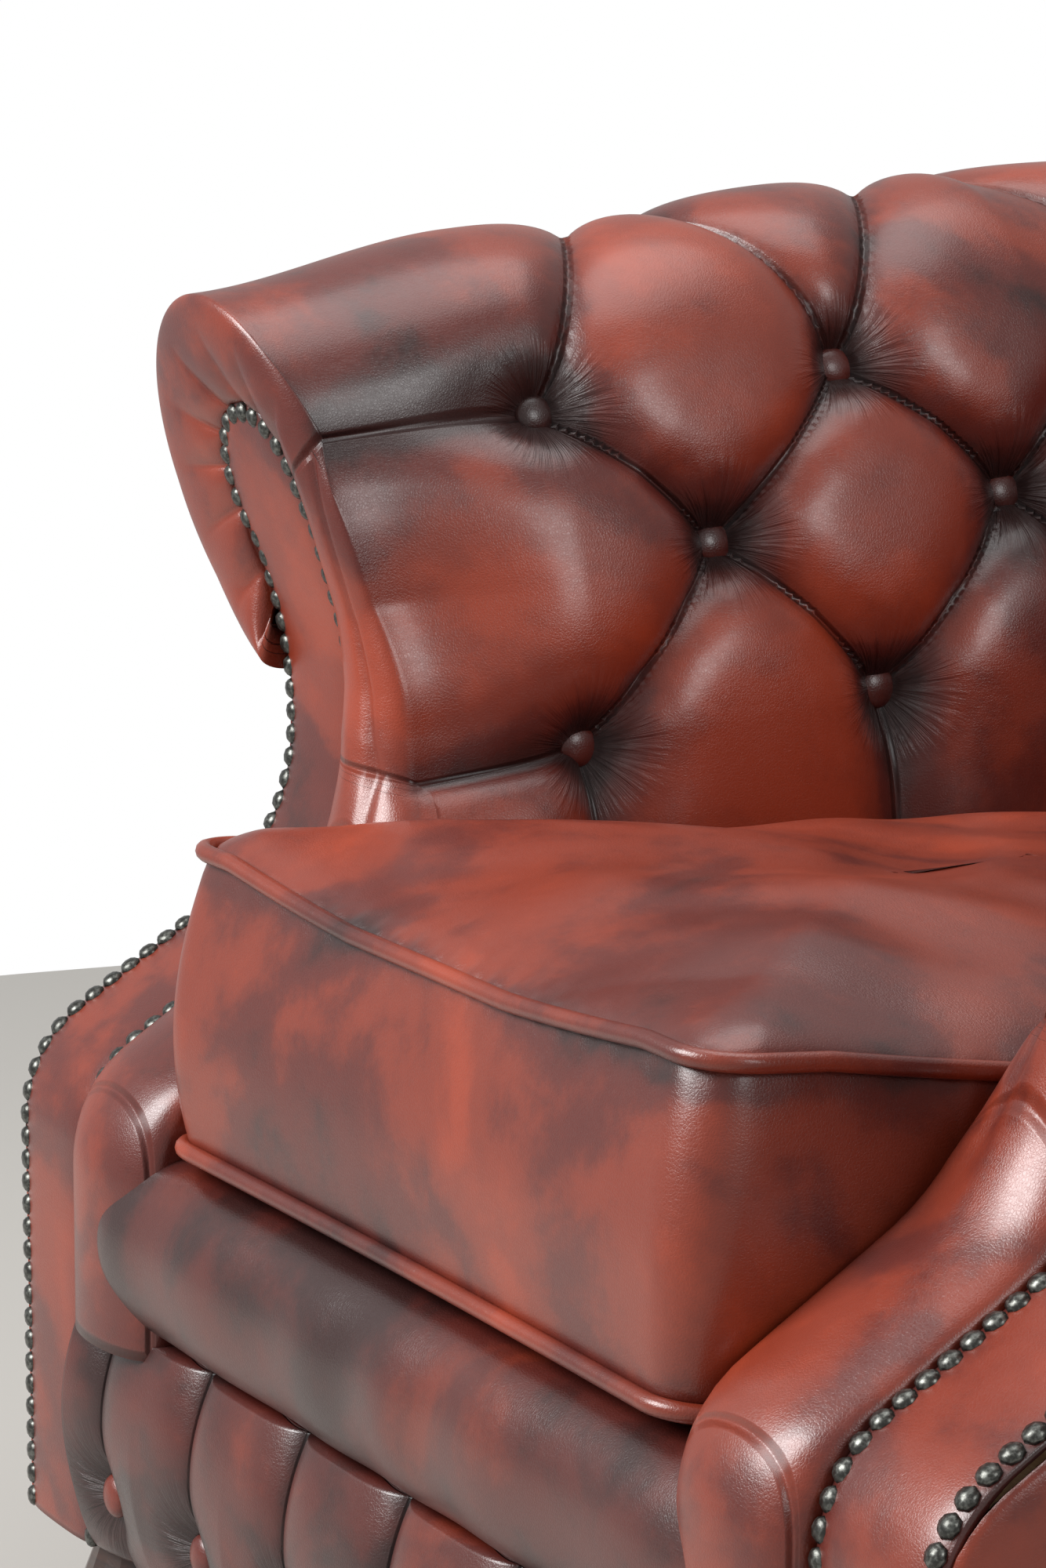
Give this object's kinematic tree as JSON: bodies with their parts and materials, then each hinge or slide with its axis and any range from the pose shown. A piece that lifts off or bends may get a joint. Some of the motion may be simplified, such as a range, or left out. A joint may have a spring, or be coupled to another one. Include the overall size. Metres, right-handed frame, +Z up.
{
  "type": "armchair",
  "caption": "Deep-buttoned leather armchair with level rolled arms and back, swept arm fronts with nailed facings, a loose box cushion, a buttoned front border and low turned feet",
  "frame": {"origin": "on the floor under the middle of the chair's overall box", "axes": "+Z up; the chair faces -Y; +X is the sitter's left arm"},
  "size_m": [1.0808, 0.8765, 0.7516],
  "materials": {
    "leather": "rubbed antique oxblood, semi-gloss",
    "stuffing": "felted wadding",
    "lining": "plain woven cloth",
    "webbing": "woven jute",
    "frame_wood": "planed beech",
    "foot_wood": "dark stain, satin",
    "spring_wire": "plain wire",
    "glide": "matte"
  },
  "bodies": {
    "frame": {"front_post_left": "frame_wood", "front_post_right": "frame_wood", "front_rail": "frame_wood", "back_rail": "frame_wood", "back_tack_rail": "frame_wood", "side_rail_left": "frame_wood", "side_rail_right": "frame_wood", "arm_tack_rail_left": "frame_wood", "arm_tack_rail_right": "frame_wood", "back_post_left": "frame_wood", "back_post_right": "frame_wood", "arm_top_rail_left": "frame_wood", "arm_top_rail_right": "frame_wood", "rear_arm_post_left": "frame_wood", "rear_arm_post_right": "frame_wood", "outer_base_rail_left": "frame_wood", "outer_base_rail_right": "frame_wood", "upper_corner_block_left": "frame_wood", "upper_corner_block_right": "frame_wood", "back_top_rail": "frame_wood", "outer_back_rail": "frame_wood", "back_spacers": "frame_wood", "seat_corner_blocks": "frame_wood", "facing_left": "leather", "facing_right": "leather", "inside_arm_left": "leather", "inside_arm_right": "leather", "inside_back": "leather", "arm_buttons_left": "leather", "arm_buttons_right": "leather", "back_buttons": "leather", "arm_roll_core_left": "stuffing", "arm_roll_core_right": "stuffing", "back_roll_core": "stuffing", "front_edge_left": "leather", "front_edge_right": "leather", "outside_arm_left": "leather", "outside_arm_right": "leather", "outside_back": "leather", "front_roll": "leather", "front_border": "leather", "border_buttons": "leather", "seat_webbing": "webbing", "dust_cover": "lining", "seat_springs": "spring_wire", "hessian": "lining", "seat_platform": "stuffing", "foot_front_left": "foot_wood", "foot_front_right": "foot_wood", "foot_rear_left": "foot_wood", "foot_rear_right": "foot_wood", "foot_glides": "glide"},
    "seat_cushion": {"cushion_cover": "leather", "cushion_core": "stuffing", "cushion_top_piping": "leather", "cushion_bottom_piping": "leather"}
  },
  "joints": [
    {"name": "cushion_lift", "type": "slide", "parent": "frame", "child": "seat_cushion", "axis": [0, 0, 1], "range_m": [0, 0.3]}
  ]
}
